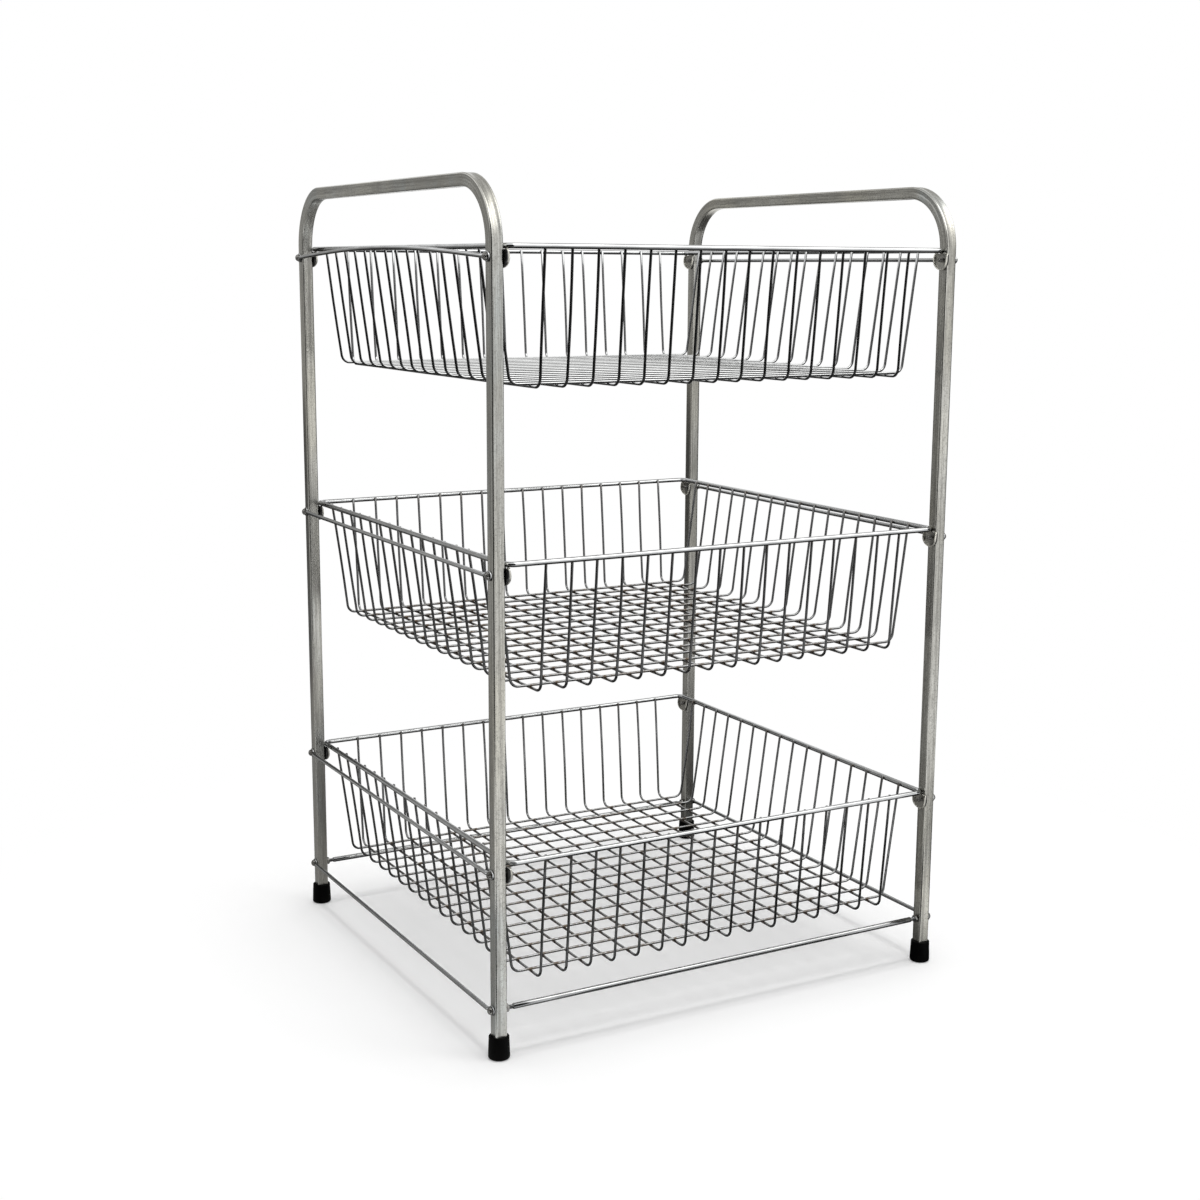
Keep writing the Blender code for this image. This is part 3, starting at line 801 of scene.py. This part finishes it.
def make_baskets(rim_material, wire_materials):
    """Three baskets, each a rim and two crossing sets of wires, with all their welds."""
    noise.seed_set(SWAY_DRAW)
    for number, tier in enumerate(TIERS):
        draw = random.Random(number + 1)
        centre = Vector((0, 0, RIM_HEIGHTS[tier]))
        sway = swaying(number)
        beside = RIM_RADIUS + WIRE_RADIUS
        seat, inset = beside - WELD_BITE, beside + GAP + FIRST_WIRE_INSET
        long_places = wire_places(RIM_X - inset - SIDE_WALL_LEAN, draw)
        cross_places = wire_places(RIM_Y - inset - END_WALL_LEAN, draw)
        low = beside - BASKET_HEIGHT
        high = low + 2 * WIRE_RADIUS - WELD_BITE
        between = (low + high) / 2
        crossings = [centre + Vector((x, y, between)) for x in long_places for y in cross_places]
        tips = [centre + Vector((x, y, 0)) for x in long_places for y in (-RIM_Y, RIM_Y)]
        tips += [centre + Vector((x, y, 0)) for y in cross_places for x in (-RIM_X, RIM_X)]
        make_rim(tier, rim_material, centre, tips, sway)
        heat_at = heat_round(crossings + tips)
        shape = Shape()
        long_set = (long_places, Y_WAY, X_WAY, RIM_Y - seat, END_WALL_LEAN, low)
        cross_set = (cross_places, X_WAY, Y_WAY, RIM_X - seat, SIDE_WALL_LEAN, high)
        for places, along, across, reach, lean, height in (long_set, cross_set):
            for place in places:
                origin = centre + across * place
                add_wire(shape, origin, along, across, reach, lean, height, crossings, heat_at, sway, draw)
        for spot in crossings:
            add_bead(shape, spot + sway(spot), X_WAY, FLOOR_BEAD)
        for spot in tips:
            inward = Vector((-spot.x, 0, 0)) if abs(spot.x) > abs(spot.y) else Vector((0, -spot.y, 0))
            joint = spot + inward.normalized() * (RIM_RADIUS - WELD_BITE / 2)
            add_bead(shape, joint + sway(spot), Z_WAY, TIP_BEAD)
        shape.object(f"wirework_{tier}", wire_materials[number], "plated_wire", f"basket_wires_{tier}")


def make_rim(tier, material, centre, tips, sway):
    """A thick closed wire whose ends are butt welded at the middle of the rear."""
    weld = centre + Vector((0, RIM_Y, 0))
    ways = ((-1, 1), (-1, -1), (1, -1), (1, 1))
    corners = [weld] + [centre + Vector((x * RIM_X, y * RIM_Y, 0)) for x, y in ways] + [weld]
    path = filled_in(bent_path(corners, RIM_CORNER, BEND_STEPS), BAR_STRIDE, tips + [weld])[:-1]
    heat_at = heat_round([tip + (centre - tip) * RIM_HEAT_SHARE for tip in tips] + [weld])
    shape = Shape()

    def size_at(point):
        return 1 + RIM_WELD_SWELL * exp(-((point - weld).length / RIM_WELD_SPREAD) ** 2)

    add_bar(shape, path, circle(RIM_SIDES, RIM_RADIUS), Z_WAY, True, heat_at, sway, size_at)
    shape.object(f"rim_{tier}", material, "plated_wire", f"basket_rim_{tier}")


def add_wire(shape, origin, along, across, reach, lean, height, crossings, heat_at, sway, draw):
    """One basket wire: down a wall, over the floor and up the other wall, bowed a little on the walls."""
    tip = RIM_RADIUS * WIRE_TIP_SHARE
    run = ((-reach, tip), (lean - reach, height), (reach - lean, height), (reach, tip))
    corners = [origin + along * u + Z_WAY * v for u, v in run]
    path = filled_in(bent_path(corners, WIRE_BEND, BEND_STEPS), BAR_STRIDE, crossings)
    near, far = path[0], path[-1]
    after, before = (near[0] + near[1] * WIRE_CUT, near[1]), (far[0] - far[1] * WIRE_CUT, far[1])
    path = [near, after, *path[1:-1], before, far]
    bows = [draw.uniform(-WIRE_BOW, WIRE_BOW) for _ in range(4)]

    def shift_at(point):
        down = min(1.0, (tip - (point.z - origin.z)) / (tip - height))
        first = 0 if (point - origin).dot(along) < 0 else 2
        return sway(point) + (across * bows[first] + along * bows[first + 1]) * sin(pi * down)

    def size_at(point):
        return WIRE_END_SHARE if point in (near[0], far[0]) else 1.0

    sideways = across * along.cross(across).z
    add_bar(shape, path, circle(WIRE_SIDES, WIRE_RADIUS), sideways, False, heat_at, shift_at, size_at)


def lug_outline(half, top):
    """A plate's outline: round at the bottom, square at the top with softened corners."""
    soft = 0.0015
    points = arc((half - soft, top - soft), soft, 90, 0, ROUND_STEPS)
    points += [(half, top / 2), (half, top / 4)]
    points += arc((0, 0), half, 0, -180, LUG_ROUND_STEPS)
    points += [(-half, top / 4), (-half, top / 2)]
    points += arc((soft - half, top - soft), soft, 180, 90, ROUND_STEPS)
    points += [((half - soft) * (2 * k / LUG_TOP_STEPS - 1), top) for k in range(1, LUG_TOP_STEPS)]
    return points


def lug_section(depth):
    """The folded edge as (inset, x), from the plate's back, over the fold, to the plate's front."""
    fold, lip = 0.001, LUG_SHEET / 2
    hollow = max(0.00005, min(0.0006, depth - lip - LUG_SHEET))
    inner = LUG_SHEET + hollow
    section = arc((fold, fold), fold, 270, 180, FOLD_STEPS)
    section += arc((lip, depth - lip), lip, 180, 0, LIP_STEPS)
    section += arc((inner, inner), hollow, 180, 270, HOLLOW_STEPS)
    return section


# A lug's marks, which set its painted highlight: none on its back and corner, one on its lip, a half on the
# side that faces the basket.
LUG_MARKS = [0.0] * (FOLD_STEPS + 2) + [1.0] * (LIP_STEPS + 1) + [0.5] * (HOLLOW_STEPS + 2)


def add_lug(shape, spot, inward):
    """A plate with a bolt hole whose edge folds over, deepest half way down."""
    half = LUG_WIDTH / 2
    top = RIM_ABOVE_BOLT - RIM_RADIUS - GAP
    middle, reach = (top - half) / 2, (top + half) / 2
    least = LUG_SHEET + LUG_TOP_LIP
    outline = lug_outline(half, top)
    loops = [[] for _ in LUG_MARKS]
    for u, v in outline:
        away = (v - middle) / reach
        depth = least + (LUG_DISH - least) * sqrt(max(0.0, 1 - away * away))
        hole = Vector((u, v)).normalized() * HOLE_RADIUS
        section = [((u * (1 - inset / half), v * (1 - inset / half)), x) for inset, x in lug_section(depth)]
        section = [(hole, 0.0), *section, (hole, LUG_SHEET)]
        for loop, (point, x) in zip(loops, section):
            loop.append(spot + Vector((inward * x, point[0], point[1])))
    rings = [shape.ring(loop, mark) for loop, mark in zip(loops, LUG_MARKS)]
    shape.skin(rings, pi * LUG_WIDTH, closed_row=True)
    for way in (-1, 1):
        place = (inward * (RIM_RADIUS + LUG_SHEET / 2), way * half * LUG_BEAD_PLACE, top + LUG_BEAD_RISE)
        add_bead(shape, spot + Vector(place), Y_WAY, LUG_BEAD, heat=LUG_BEAD_HEAT)


def make_lugs(material):
    """The folded plates that hang from the rims and take the bolts."""
    for tier in TIERS:
        for corner, sign, way in CORNERS:
            shape = Shape()
            spot = Vector((sign * (INNER_FACE - GAP), way * POST_Y, BOLT_HEIGHTS[tier]))
            add_lug(shape, spot, -sign)
            shape.object(f"lug_{tier}_{corner}", material, "plated_wire", f"basket_lug_{tier}_{corner}")


def add_eye(shape, centre, outward):
    """A rod's pierced end, pressed flat with soft edges."""
    edge = 0.0004
    rim = EYE_DIAMETER / 2
    outline = [(HOLE_RADIUS, GAP)]
    outline += arc((rim - edge, GAP + edge), edge, -90, 0, ROUND_STEPS)
    outline += arc((rim - edge, GAP + EYE_SHEET - edge), edge, 0, 90, ROUND_STEPS)
    outline.append((HOLE_RADIUS, GAP + EYE_SHEET))
    profile = [(x, radius) for radius, x in outline]
    add_turned(shape, profile, TURNED_SIDES, centre, outward, closed=True)


def add_rod(shape, outward, height, bow):
    """A round rod outside one side frame, flattened where it runs into its eyes."""
    rim = EYE_DIAMETER / 2
    taper_start, taper_end = rim * TAPER_START_SHARE, rim + EYE_TAPER
    flat_share = EYE_SHEET * EYE_NECK_SHARE / SIDE_ROD
    taper = [taper_start + (taper_end - taper_start) * k / TAPER_STEPS for k in range(TAPER_STEPS + 1)]
    count = round(2 * (POST_Y - taper_end) / BAR_STRIDE)
    bar = [(POST_Y - taper_end) * (2 * k / count - 1) for k in range(1, count)]
    places = [back - POST_Y for back in taper] + bar + [POST_Y - back for back in taper[::-1]]
    rings = []
    for y in places:
        roundness = smooth_step((POST_Y - abs(y) - taper_start) / (taper_end - taper_start))
        thin = flat_share + (1 - flat_share) * roundness
        wide = NECK_WIDTH_SHARE + (1 - NECK_WIDTH_SHARE) * roundness
        middle = GAP + (EYE_SHEET + (SIDE_ROD - EYE_SHEET) * roundness) / 2
        bent = cos(pi * y / 2 / POST_Y)
        centre = Vector((outward * (OUTER_FACE + middle + bow[0] * bent), y, height + bow[1] * bent))
        outline = circle(ROD_SIDES, SIDE_ROD / 2, (thin, wide))
        rings.append(shape.ring([centre + Vector((outward * u, 0, v)) for u, v in outline]))
    shape.bar(rings, pi * SIDE_ROD)
    for _, way in ENDS:
        add_eye(shape, Vector((outward * OUTER_FACE, way * POST_Y, height)), outward)


def make_rods(material, low_material):
    """Rods outside the side frames: one at each tier and one low down."""
    draw = random.Random(11)
    for side, sign in SIDES:
        rods = [(f"rod_{tier}", f"side_rod_{tier}", BOLT_HEIGHTS[tier], material) for tier in TIERS]
        rods.append(("low_rod", "side_bar", BAR_HEIGHT, low_material))
        for name, node, height, finish in rods:
            shape = Shape()
            arch = ROD_ARCH if f"{name}_{side}" == ARCHED_ROD else 0.0
            bow = (draw.uniform(0, ROD_BOW), arch + draw.uniform(-ROD_BOW, ROD_BOW))
            add_rod(shape, sign, height, bow)
            shape.object(f"{name}_{side}", finish, "plated_wire", f"{node}_{side}")


def thread_radius(x, angle, radius):
    """The radius of a right-hand thread, flat at its crests and roots."""
    phase = (x / THREAD_PITCH - angle / (2 * pi)) % 1.0
    crest = min(1.0, max(0.0, THREAD_SLOPE * abs(2 * phase - 1) - THREAD_ROOT))
    return radius - THREAD_DEPTH * (1 - crest) if radius > BOLT / 2 - GAP else radius


def thread_places(start, end):
    """Places along a thread, close enough to show its turns."""
    count = round(abs(end - start) / THREAD_PITCH * THREAD_STEPS)
    return [start + (end - start) * k / count for k in range(count + 1)]


def make_tie_rods(material):
    """Front and rear bars between the legs, with threaded necks through the tubes."""
    shoulder = INNER_FACE - GAP - LOCK_NUT_HEIGHT - TIE_NECK_SHOWN
    tip = OUTER_FACE + HEAD_SEAT + HEAD_HEIGHT - CAP_NUT_CROWN - GAP
    neck, bar, edge = BOLT / 2, TIE_ROD / 2, 0.0004
    for end, way in ENDS:
        shape = Shape()
        centre = Vector((0, way * POST_Y, BAR_HEIGHT))
        count = round(2 * shoulder / BAR_STRIDE)
        middle = [(shoulder * (2 * k / count - 1), bar) for k in range(1, count)]
        far = [(shoulder - edge, bar), (shoulder, bar - edge), (shoulder, neck - THREAD_DEPTH)]
        add_turned(shape, [(-x, r) for x, r in far[::-1]] + middle + far, ROD_SIDES, centre, 1)
        for outward in (-1, 1):
            turns = [(x, neck) for x in thread_places(shoulder, INNER_FACE)]
            profile = [(shoulder, 0), *turns, (tip, neck), (tip, 0)]
            add_turned(shape, profile, THREAD_SIDES, centre, outward, radius_at=thread_radius)
        shape.object(f"cross_rod_{end}", material, "plated_wire", f"tie_rod_{end}")


def dome_profile():
    """A half oval from its seat to its crown, with a softened seat edge."""
    edge = 0.00025
    radius = HEAD_DIAMETER / 2
    rise = HEAD_HEIGHT - edge
    profile = [(HEAD_SEAT, radius - edge), (HEAD_SEAT + edge / 3, radius - edge / 3)]
    for k in range(DOME_STEPS + 1):
        angle = pi / 2 * k / DOME_STEPS
        profile.append((HEAD_SEAT + edge + rise * sin(angle), radius * cos(angle) if k < DOME_STEPS else 0))
    return profile


def make_bolts(material):
    """A dome-headed bolt through each rod eye, leg and lug, its threaded end free inside."""
    tip = -(TUBE + GAP + LUG_SHEET + BOLT_TIP)
    shank, chamfer = BOLT / 2, 0.0005
    turns = [(x, shank) for x in thread_places(tip + chamfer, -TUBE)]
    profile = [(tip, 0), (tip, shank - chamfer), *turns, (HEAD_SEAT, shank), *dome_profile()]
    for tier in TIERS:
        for corner, sign, way in CORNERS:
            shape = Shape()
            centre = Vector((sign * OUTER_FACE, way * POST_Y, BOLT_HEIGHTS[tier]))
            add_turned(shape, profile, TURNED_SIDES, centre, sign, radius_at=thread_radius)
            name = f"bolt_{tier}_{corner}"
            shape.object(f"dome_{name}", material, "bright_fastener", name)


def make_nuts(material):
    """A dome nut outside and a hexagonal lock nut inside each leg, on the tie rods' necks."""
    blind = HEAD_SEAT + HEAD_HEIGHT - CAP_NUT_CROWN
    cap = [(blind, 0), (blind, HOLE_RADIUS), (HEAD_SEAT, HOLE_RADIUS), *dome_profile()]
    near, far = -TUBE - GAP, -TUBE - GAP - LOCK_NUT_HEIGHT
    flats = LOCK_NUT_FLATS / 2
    point, chamfer = flats / cos(pi / 6), 0.00035
    nut = [(near, HOLE_RADIUS), (near, flats), (near - chamfer, point)]
    nut += [(far + chamfer, point), (far, flats), (far, HOLE_RADIUS)]

    def hexagon(x, angle, radius):
        return min(radius, flats / cos(angle % (pi / 3) - pi / 6))

    for corner, sign, way in CORNERS:
        centre = Vector((sign * OUTER_FACE, way * POST_Y, BAR_HEIGHT))
        shape = Shape()
        add_turned(shape, cap, TURNED_SIDES, centre, sign)
        shape.object(f"dome_nut_{corner}", material, "bright_fastener", f"cap_nut_{corner}")
        shape = Shape()
        add_turned(shape, nut, NUT_SIDES, centre, sign, closed=True, radius_at=hexagon)
        node = f"lock_nut_{corner}"
        shape.object(f"hex_nut_{corner}", material, "bright_fastener", node, sharp=NUT_SHARP_ANGLE)


# Camera, as fitted to the photograph.
CAMERA_PLACE = Vector((-0.910651, -1.610980, 0.717883))
CAMERA_AZIMUTH = -29.147
CAMERA_DROP = 10.634
CAMERA_ROLL = 0.283
CAMERA_LENS = 52.91
CAMERA_SENSOR = 36.0


def make_camera():
    """The camera at the photograph's place, with its lens and slight roll."""
    azimuth, drop, roll = radians(CAMERA_AZIMUTH), radians(CAMERA_DROP), radians(CAMERA_ROLL)
    ahead = Vector((-sin(azimuth) * cos(drop), cos(azimuth) * cos(drop), -sin(drop)))
    right = Vector((cos(azimuth), sin(azimuth), 0))
    up = right.cross(ahead)
    right, up = right * cos(roll) + up * sin(roll), up * cos(roll) - right * sin(roll)
    data = bpy.data.cameras.new("camera")
    data.lens = CAMERA_LENS
    data.sensor_width = CAMERA_SENSOR
    camera = bpy.data.objects.new("camera", data)
    turn = Matrix((right, up, -ahead)).transposed().to_4x4()
    camera.matrix_world = Matrix.Translation(CAMERA_PLACE) @ turn
    bpy.context.scene.collection.objects.link(camera)
    bpy.context.scene.camera = camera


# Studio: a white world and floor, two soft lamps, and dark and bright cards that only reflections show.
SKY_LIGHT = 0.3
SKY_SHOWN = 1.0
TOP_LIGHT = 2.1
TOP_LIGHT_WIDTH = 24
TOP_LIGHT_PLACE = Vector((0.15, -0.1, 6.0))
SIDE_LAMP = 5.0
SIDE_LAMP_SIZE = 0.7
SIDE_LAMP_PLACE = Vector((1.0, -1.3, 2.0))
LAMP_TARGET = Vector((0, 0, 0.4))
FLOOR_HALF = 20.0
FLOOR_COLOUR = 0.8
FLOOR_ROUGHNESS = 0.9
FLOOR_LIFT = 0.235
FLOOR_FADE = (0.36, 0.8)
CARD_SOFT_SHARE = 0.2
CARD_COLOUR = (1.0, 0.992, 0.968)

# Each upright card: azimuth from the front towards the right, distance, half width, bottom, top, brightness.
UPRIGHT_CARDS = (
    ("card_front", -37, 1.2, 0.8, -0.3, 1.5, 0.01),
    ("card_left", -82, 1.0, 0.5, 0.0, 0.95, 0.3),
    ("card_rear_left", -150, 1.0, 0.9, 0.0, 1.1, 0.35),
    ("card_rear", -165, 0.83, 0.34, 0.1, 0.56, 0.07),
    ("card_right", 90, 1.0, 1.0, 0.0, 1.0, 0.05),
)

# Each flat card: middle, half width along X, half length, direction of the length, brightness.
FRONT_RIGHT = Vector((0.487, -0.873, 0))
FLOOR_CARDS = (("left", -0.364), ("middle", 0.136), ("right", 0.636))
FLAT_CARDS = (
    ("card_under", (-0.52, 0.55, 0.0005), 0.97, 0.85, Y_WAY, 0.3),
    ("card_under_bends", (0.55, 0.2, 0.0008), 0.45, 0.55, Y_WAY, 0.07),
    ("card_floor_far", (1.1, -2.4, 0.001), 0.9, 0.9, Y_WAY, 0.66),
    *((f"card_floor_{name}", (x, -0.484, 0.001), 0.19, 0.27, FRONT_RIGHT, 0.02) for name, x in FLOOR_CARDS),
    ("card_overhead_front", (0.75, -0.95, 1.7), 1.0, 0.65, Y_WAY, 2.8),
    ("card_overhead_rear", (0.2, 0.8, 1.7), 1.2, 1.0, Y_WAY, 0.6),
)


def shown_rays(nodes):
    """One for rays that see the background: the camera's, reflected and transmitted ones."""
    rays = nodes.node("ShaderNodeLightPath", {}).outputs
    either = nodes.math("MAXIMUM", rays["Is Camera Ray"], rays["Is Glossy Ray"])
    return nodes.math("MAXIMUM", either, rays["Is Transmission Ray"])


def make_world():
    """White where it is seen, and a plain soft light on the rack."""
    world = bpy.data.worlds.new("studio")
    bpy.context.scene.world = world
    nodes = Nodes(world, "Background", "World Output")
    nodes.put("Color", WHITE)
    nodes.put("Strength", SKY_LIGHT)
    shown = nodes.node("ShaderNodeBackground", {"Color": WHITE, "Strength": SKY_SHOWN}).outputs[0]
    nodes.show(shown_rays(nodes), nodes.shader.outputs[0], shown)


def place_lamp(name, data, place):
    """Sets a lamp down where it faces the rack."""
    lamp = bpy.data.objects.new(name, data)
    lamp.location = place
    lamp.rotation_euler = (LAMP_TARGET - place).to_track_quat("-Z", "Y").to_euler()
    bpy.context.scene.collection.objects.link(lamp)
    return lamp


def make_lamps():
    """A soft sun above, whose shadow stays under the rack, and a square lamp high in front at the right."""
    top = bpy.data.lights.new("top_light", "SUN")
    top.energy = TOP_LIGHT
    top.angle = radians(TOP_LIGHT_WIDTH)
    place_lamp("top_light", top, TOP_LIGHT_PLACE).visible_glossy = False
    side = bpy.data.lights.new("side_lamp", "AREA")
    side.energy = SIDE_LAMP
    side.size = SIDE_LAMP_SIZE
    place_lamp("side_lamp", side, SIDE_LAMP_PLACE)


def make_floor():
    """A pale floor that keeps the rack's shadow and turns white further out."""
    paint = new_paint("floor_white")
    paint.put("Base Color", colour_of(FLOOR_COLOUR))
    paint.put("Roughness", FLOOR_ROUGHNESS)
    paint.put("Specular IOR Level", 0.0)
    seen = shown_rays(paint)
    place = paint.node("ShaderNodeTexCoord", {}).outputs["Object"]
    distance = paint.node("ShaderNodeVectorMath", {0: place}, operation="LENGTH").outputs["Value"]
    paint.put("Emission Color", WHITE)
    paint.put("Emission Strength", paint.times(seen, FLOOR_LIFT))
    white = paint.node("ShaderNodeEmission", {"Color": WHITE}).outputs[0]
    far = paint.times(seen, paint.ramp(distance, *FLOOR_FADE))
    paint.show(far, paint.shader.outputs[0], white)
    stage_quad("floor", paint.owner, Vector(), X_WAY * FLOOR_HALF, Y_WAY * FLOOR_HALF)


def stage_quad(name, material, centre, along, up):
    """A flat sheet of the studio, given by its middle and its two half widths."""
    corners = [centre - along - up, centre + along - up, centre + along + up, centre - along + up]
    mesh = bpy.data.meshes.new(name)
    mesh.from_pydata([tuple(corner) for corner in corners], [], [(0, 1, 2, 3)])
    mesh.uv_layers.new(name="sheet").data.foreach_set("uv", (-1, -1, 1, -1, 1, 1, -1, 1))
    mesh.materials.append(material)
    sheet = bpy.data.objects.new(name, mesh)
    bpy.context.scene.collection.objects.link(sheet)
    return sheet


def make_card(name, centre, along, up, tone):
    """A card that only reflections show: one brightness, but clear along its edges."""
    paint = new_paint(name)
    card = stage_quad(name, paint.owner, centre, along, up)
    run = paint.node("ShaderNodeUVMap", {}, uv_map="sheet").outputs["UV"]
    shares = []
    for axis in ("X", "Y"):
        from_middle = paint.math("ABSOLUTE", paint.axis(run, axis), 0.0)
        shares.append(paint.ramp(from_middle, 1 - CARD_SOFT_SHARE, 1.0, 1.0, 0.0))
    share = paint.times(*shares)
    lit = paint.node("ShaderNodeEmission", {"Color": colour_of(*CARD_COLOUR), "Strength": tone}).outputs[0]
    paint.show(share, paint.node("ShaderNodeBsdfTransparent", {}).outputs[0], lit)
    for kind in ("camera", "diffuse", "transmission", "volume_scatter", "shadow"):
        setattr(card, f"visible_{kind}", False)


def make_cards():
    """All the cards, upright and flat."""
    for name, azimuth, distance, half_width, bottom, top, tone in UPRIGHT_CARDS:
        toward = Vector((sin(radians(azimuth)), -cos(radians(azimuth)), 0))
        centre = toward * distance + Z_WAY * (bottom + top) / 2
        make_card(name, centre, toward.cross(Z_WAY) * half_width, Z_WAY * (top - bottom) / 2, tone)
    for name, centre, half_width, half_length, along, tone in FLAT_CARDS:
        make_card(name, Vector(centre), X_WAY * half_width, along * half_length, tone)


def make_studio():
    """The world, the floor, the lamps and the cards, shown without a film look."""
    make_world()
    make_floor()
    make_lamps()
    make_cards()
    bpy.context.scene.view_settings.view_transform = "Standard"


make_camera()
make_studio()
make_tubes(tube_steel())
make_feet(black_rubber())
BAR_STEEL = bar_steel("plated_bar", *BAR_TONES)
ROD_STEEL = bar_steel("plated_rod", *ROD_TONES)
BASKET_STEEL = basket_steel("drawn_wire", *BASKET_TONES)
HANDLED_STEEL = basket_steel("handled_wire", *HANDLED_TONES)
make_baskets(BAR_STEEL, (BASKET_STEEL, BASKET_STEEL, HANDLED_STEEL))
make_rods(BAR_STEEL, ROD_STEEL)
make_tie_rods(ROD_STEEL)
make_lugs(pressed_sheet())
FASTENER = polished_steel()
make_bolts(FASTENER)
make_nuts(FASTENER)
